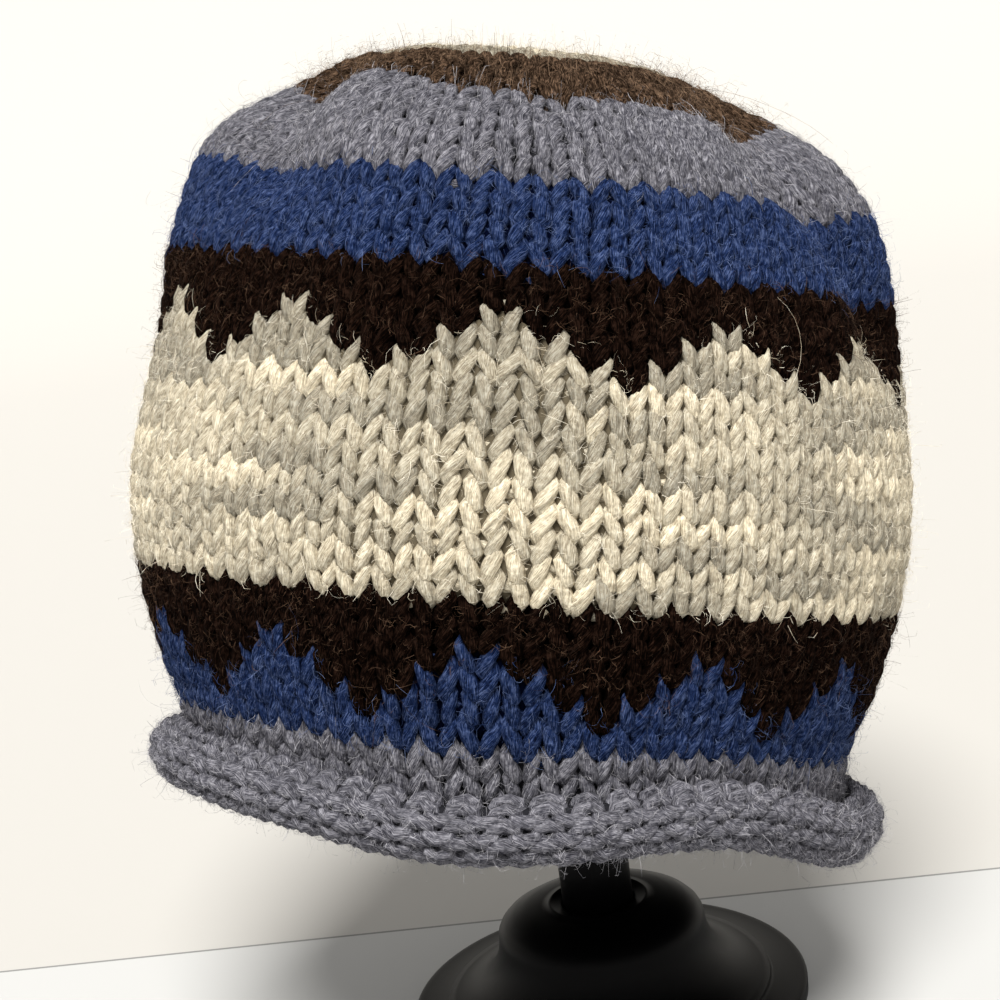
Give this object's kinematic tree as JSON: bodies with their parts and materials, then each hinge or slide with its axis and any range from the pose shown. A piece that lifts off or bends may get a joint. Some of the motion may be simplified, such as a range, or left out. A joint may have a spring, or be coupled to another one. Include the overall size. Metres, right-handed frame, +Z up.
{
  "type": "knitted beanie on a stand",
  "caption": "Hand-knitted wool beanie with stripes, zigzag edges and a rolled brim, held on a plain round-based stand.",
  "frame": {"origin": "centre of the stand's flat underside", "axes": "+Z up along the stand's post, -Y towards the front of the hat, +X to the right of someone who looks at its front"},
  "size_m": [0.1801, 0.1814, 0.2305],
  "materials": {
    "wool_grey": "heathered wool",
    "wool_blue": "heathered wool",
    "wool_brown": "wool",
    "wool_cream": "variegated wool",
    "stand_black": "gloss"
  },
  "bodies": {
    "root": {"rolled_brim": "wool_grey", "hem": "wool_grey", "blue_peaks": "wool_blue", "brown_lower": "wool_brown", "cream_band": "wool_cream", "brown_upper": "wool_brown", "blue_upper": "wool_blue", "grey_upper": "wool_grey", "brown_crown": "wool_brown", "crown_tip": "wool_cream", "stand_base": "stand_black", "stand_post": "stand_black"}
  },
  "joints": []
}
